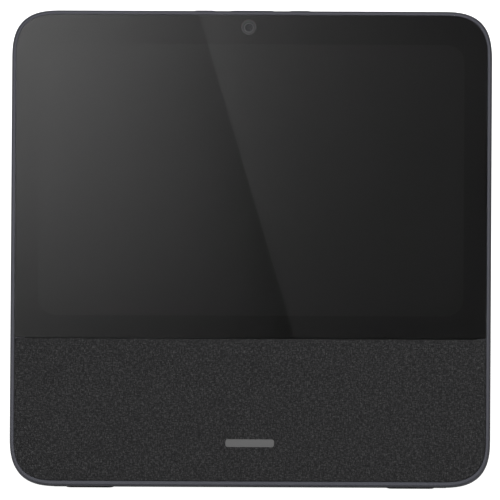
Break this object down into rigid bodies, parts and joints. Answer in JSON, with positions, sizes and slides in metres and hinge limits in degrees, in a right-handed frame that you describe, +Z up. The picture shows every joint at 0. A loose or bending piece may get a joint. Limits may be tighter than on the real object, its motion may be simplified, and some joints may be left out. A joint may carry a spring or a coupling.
{
  "type": "smart display",
  "caption": "Leaning touch screen over a fabric-covered speaker front, with a wedge-shaped acoustic pod behind, a sliding camera shutter and top volume buttons.",
  "frame": {"origin": "on the table plane, under the middle of the outer box", "axes": "+Z up; the screen faces -Y and leans back 15 degrees; +X towards the right of someone looking at the screen"},
  "size_m": [0.245, 0.1038, 0.2384],
  "materials": {
    "frame": "satin dark grey rim",
    "shell": "fine spark texture, dark grey",
    "glass": "polished cover glass",
    "ink": "black print",
    "foam": "matte foam",
    "lcd": "dark panel, switched off",
    "light_guide": "clear sheet",
    "steel": "bare",
    "flex": "copper under film",
    "trim": "dark satin ring",
    "lens": "coated",
    "black_plastic": "moulded",
    "circuit_board": "solder mask",
    "shutter": "coloured film",
    "buttons": "satin",
    "white_plastic": "moulded",
    "brass": "plated",
    "rubber": "matte",
    "fabric": "dark grey melange knit",
    "name_bar": "satin, blank",
    "magnet": "plated",
    "cone": "coated paper",
    "screws": "blackened",
    "contacts": "nickel plated",
    "base": "moulded",
    "feet": "matte",
    "aluminium": "anodised",
    "leads": "insulation"
  },
  "bodies": {
    "housing": {"mid_frame": "frame", "rear_cover": "shell", "cover_glass": "glass", "glass_mask": "ink", "glass_adhesive": "foam", "lcd_panel": "lcd", "light_guide": "light_guide", "backlight_tray": "steel", "display_cable": "flex", "camera_trim_ring": "trim", "camera_lens": "lens", "camera_barrel": "black_plastic", "camera_board": "circuit_board", "switch_housings": "steel", "top_boards": "circuit_board", "microphones": "brass", "microphone_seals": "rubber", "fabric_cover": "fabric", "grille_plate": "black_plastic", "name_bar": "name_bar", "front_baffle": "black_plastic", "left_basket": "steel", "right_basket": "steel", "left_magnet": "magnet", "right_magnet": "magnet", "left_surround": "rubber", "right_surround": "rubber", "speaker_gaskets": "foam", "speaker_screws": "screws", "acoustic_box": "black_plastic", "acoustic_gasket": "foam", "radiator_surround": "rubber", "pod_shell": "shell", "rear_grille": "black_plastic", "port_panel": "black_plastic", "power_jack": "black_plastic", "power_jack_pin": "contacts", "base_plate": "base", "ballast_plate": "steel", "front_feet": "feet", "rear_foot": "feet", "main_board": "circuit_board", "processor_shield": "steel", "heat_sink": "aluminium", "antennas": "flex", "speaker_leads": "leads", "cover_screws": "screws", "board_screws": "screws", "base_screws": "screws"},
    "volume_down": {"volume_down_button": "buttons", "volume_down_plunger": "white_plastic"},
    "volume_up": {"volume_up_button": "buttons", "volume_up_plunger": "white_plastic"},
    "shutter": {"shutter_slider": "buttons", "shutter_blade": "shutter"},
    "left_driver": {"left_cone": "cone"},
    "right_driver": {"right_cone": "cone"},
    "radiator": {"radiator_plate": "steel"}
  },
  "joints": [
    {"name": "volume_down_press", "type": "slide", "parent": "housing", "child": "volume_down", "axis": [0, -0.2588, -0.9659], "range_m": [0, 0.0003], "stiffness_N_per_m": 4000, "springref_m": -0.0001},
    {"name": "volume_up_press", "type": "slide", "parent": "housing", "child": "volume_up", "axis": [0, -0.2588, -0.9659], "range_m": [0, 0.0003], "stiffness_N_per_m": 4000, "springref_m": -0.0001},
    {"name": "shutter_slide", "type": "slide", "parent": "housing", "child": "shutter", "axis": [1, 0, 0], "range_m": [0, 0.007]},
    {"name": "left_cone_travel", "type": "slide", "parent": "housing", "child": "left_driver", "axis": [0, -0.9659, 0.2588], "range_m": [-0.0015, 0.0015], "stiffness_N_per_m": 900, "deforming": ["left_surround"]},
    {"name": "right_cone_travel", "type": "slide", "parent": "housing", "child": "right_driver", "axis": [0, -0.9659, 0.2588], "range_m": [-0.0015, 0.0015], "stiffness_N_per_m": 900, "deforming": ["right_surround"]},
    {"name": "radiator_travel", "type": "slide", "parent": "housing", "child": "radiator", "axis": [0, 1, 0], "range_m": [-0.0025, 0.0025], "stiffness_N_per_m": 1500, "deforming": ["radiator_surround"]}
  ]
}
